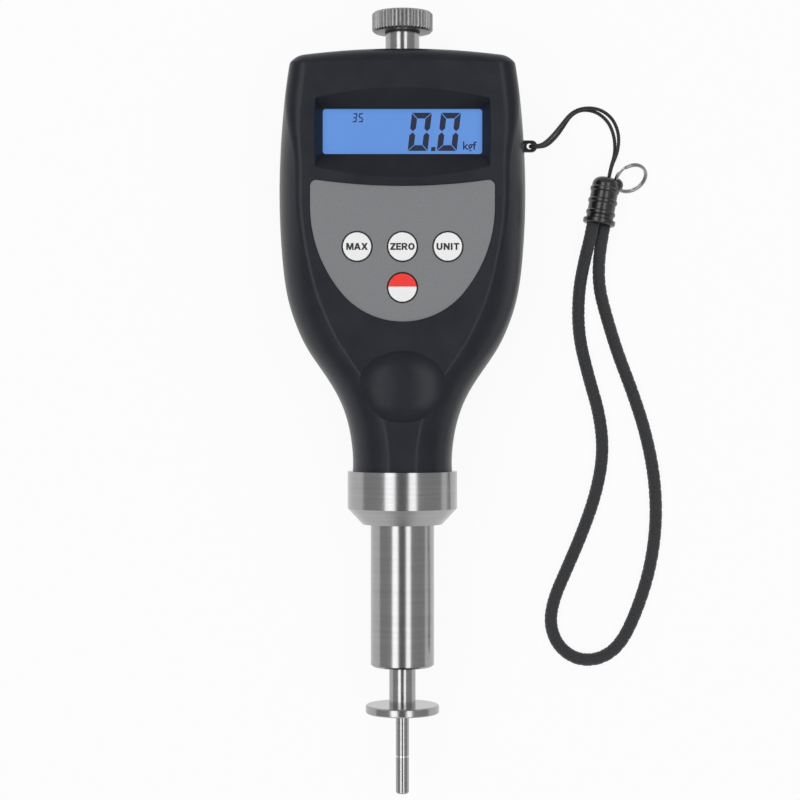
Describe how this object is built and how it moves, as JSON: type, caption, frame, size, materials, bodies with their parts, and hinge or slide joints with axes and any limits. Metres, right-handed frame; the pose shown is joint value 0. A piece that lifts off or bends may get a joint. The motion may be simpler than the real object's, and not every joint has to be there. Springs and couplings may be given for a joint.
{
  "type": "hardness tester",
  "caption": "Hand-held digital fruit hardness tester: black two-part housing with display and round keys, steel probe with screw-in tip and splash disc, stand post cap and wrist strap.",
  "frame": {"origin": "on the flat back, under the widest station of the housing and below the probe's axis", "axes": "+Y along the probe's axis from the tip towards the stand cap, +Z out of the display side, +X towards the strap lug"},
  "size_m": [0.103, 0.2066, 0.0292],
  "materials": {
    "housing": "fine matt texture",
    "window": "clear",
    "display": "lit blue display",
    "diffuser": "matt white",
    "keypad": "fine grained grey",
    "white_key": "smooth",
    "red_key": "smooth, lower half white",
    "silicone": "matt",
    "contact_metal": "plated",
    "circuit_board": "solder resist",
    "battery": "plain wrap",
    "steel": "plain",
    "knurled_steel": "knurled",
    "polished_steel": "turned and polished",
    "washer": "matt black",
    "bush": "natural plastic",
    "aluminium": "machined",
    "gloss_cap": "glossy black",
    "ring": "bright",
    "cord": "twisted cord",
    "braid": "braided"
  },
  "bodies": {
    "housing": {"front_shell": "housing", "rear_shell": "housing", "display_window": "window", "display_glass": "display", "backlight": "diffuser", "keypad_panel": "keypad", "key_mat": "silicone", "key_switches": "contact_metal", "main_board": "circuit_board", "board_screws": "steel", "battery_1": "battery", "battery_2": "battery", "battery_3": "battery", "battery_4": "battery", "battery_contacts": "contact_metal", "battery_springs": "contact_metal", "housing_screws": "steel", "stand_post": "steel", "probe_collar": "polished_steel", "probe_barrel": "polished_steel", "lower_guide_bush": "bush", "upper_guide_bush": "bush", "overload_stop": "steel", "load_cell": "aluminium", "cell_bracket": "aluminium", "bracket_screws": "steel", "load_cell_screw": "steel", "cord_cap": "gloss_cap", "split_ring": "ring", "lanyard_cord": "cord", "wrist_loop": "braid"},
    "battery_cover": {"battery_cover": "housing"},
    "max_key": {"max_key": "white_key"},
    "zero_key": {"zero_key": "white_key"},
    "unit_key": {"unit_key": "white_key"},
    "power_key": {"power_key": "red_key"},
    "cap_washer": {"cap_washer": "washer"},
    "stand_cap": {"stand_cap": "knurled_steel"},
    "plunger": {"plunger": "polished_steel"},
    "splash_disc": {"splash_disc": "polished_steel"},
    "test_tip": {"test_tip": "polished_steel"}
  },
  "joints": [
    {"name": "battery_cover_slide", "type": "slide", "parent": "housing", "child": "battery_cover", "axis": [0, 1, 0], "range_m": [0, 0.06]},
    {"name": "max_key_press", "type": "slide", "parent": "housing", "child": "max_key", "axis": [0, 0, -1], "range_m": [0, 0.0007], "stiffness_N_per_m": 500},
    {"name": "zero_key_press", "type": "slide", "parent": "housing", "child": "zero_key", "axis": [0, 0, -1], "range_m": [0, 0.0007], "stiffness_N_per_m": 500},
    {"name": "unit_key_press", "type": "slide", "parent": "housing", "child": "unit_key", "axis": [0, 0, -1], "range_m": [0, 0.0007], "stiffness_N_per_m": 500},
    {"name": "power_key_press", "type": "slide", "parent": "housing", "child": "power_key", "axis": [0, 0, -1], "range_m": [0, 0.0007], "stiffness_N_per_m": 500},
    {"name": "cap_lift", "type": "slide", "parent": "housing", "child": "cap_washer", "axis": [0, 1, 0], "range_m": [0, 0.0044]},
    {"name": "cap_turn", "type": "hinge", "parent": "cap_washer", "child": "stand_cap", "pos_m": [0, 0.043, 0.01475], "axis": [0, 1, 0], "range_deg": [0, 1800]},
    {"name": "load_stroke", "type": "slide", "parent": "housing", "child": "plunger", "axis": [0, 1, 0], "range_m": [0, 0.0004], "stiffness_N_per_m": 20000},
    {"name": "tip_lift", "type": "slide", "parent": "plunger", "child": "splash_disc", "axis": [0, -1, 0], "range_m": [0, 0.004]},
    {"name": "tip_turn", "type": "hinge", "parent": "splash_disc", "child": "test_tip", "pos_m": [0, -0.1371, 0.01475], "axis": [0, -1, 0], "range_deg": [0, 3200]}
  ],
  "couplings": [
    {"joint": "cap_turn", "follows": "cap_lift", "rad_per_m": 6283.2},
    {"joint": "tip_turn", "follows": "tip_lift", "rad_per_m": 12566}
  ]
}
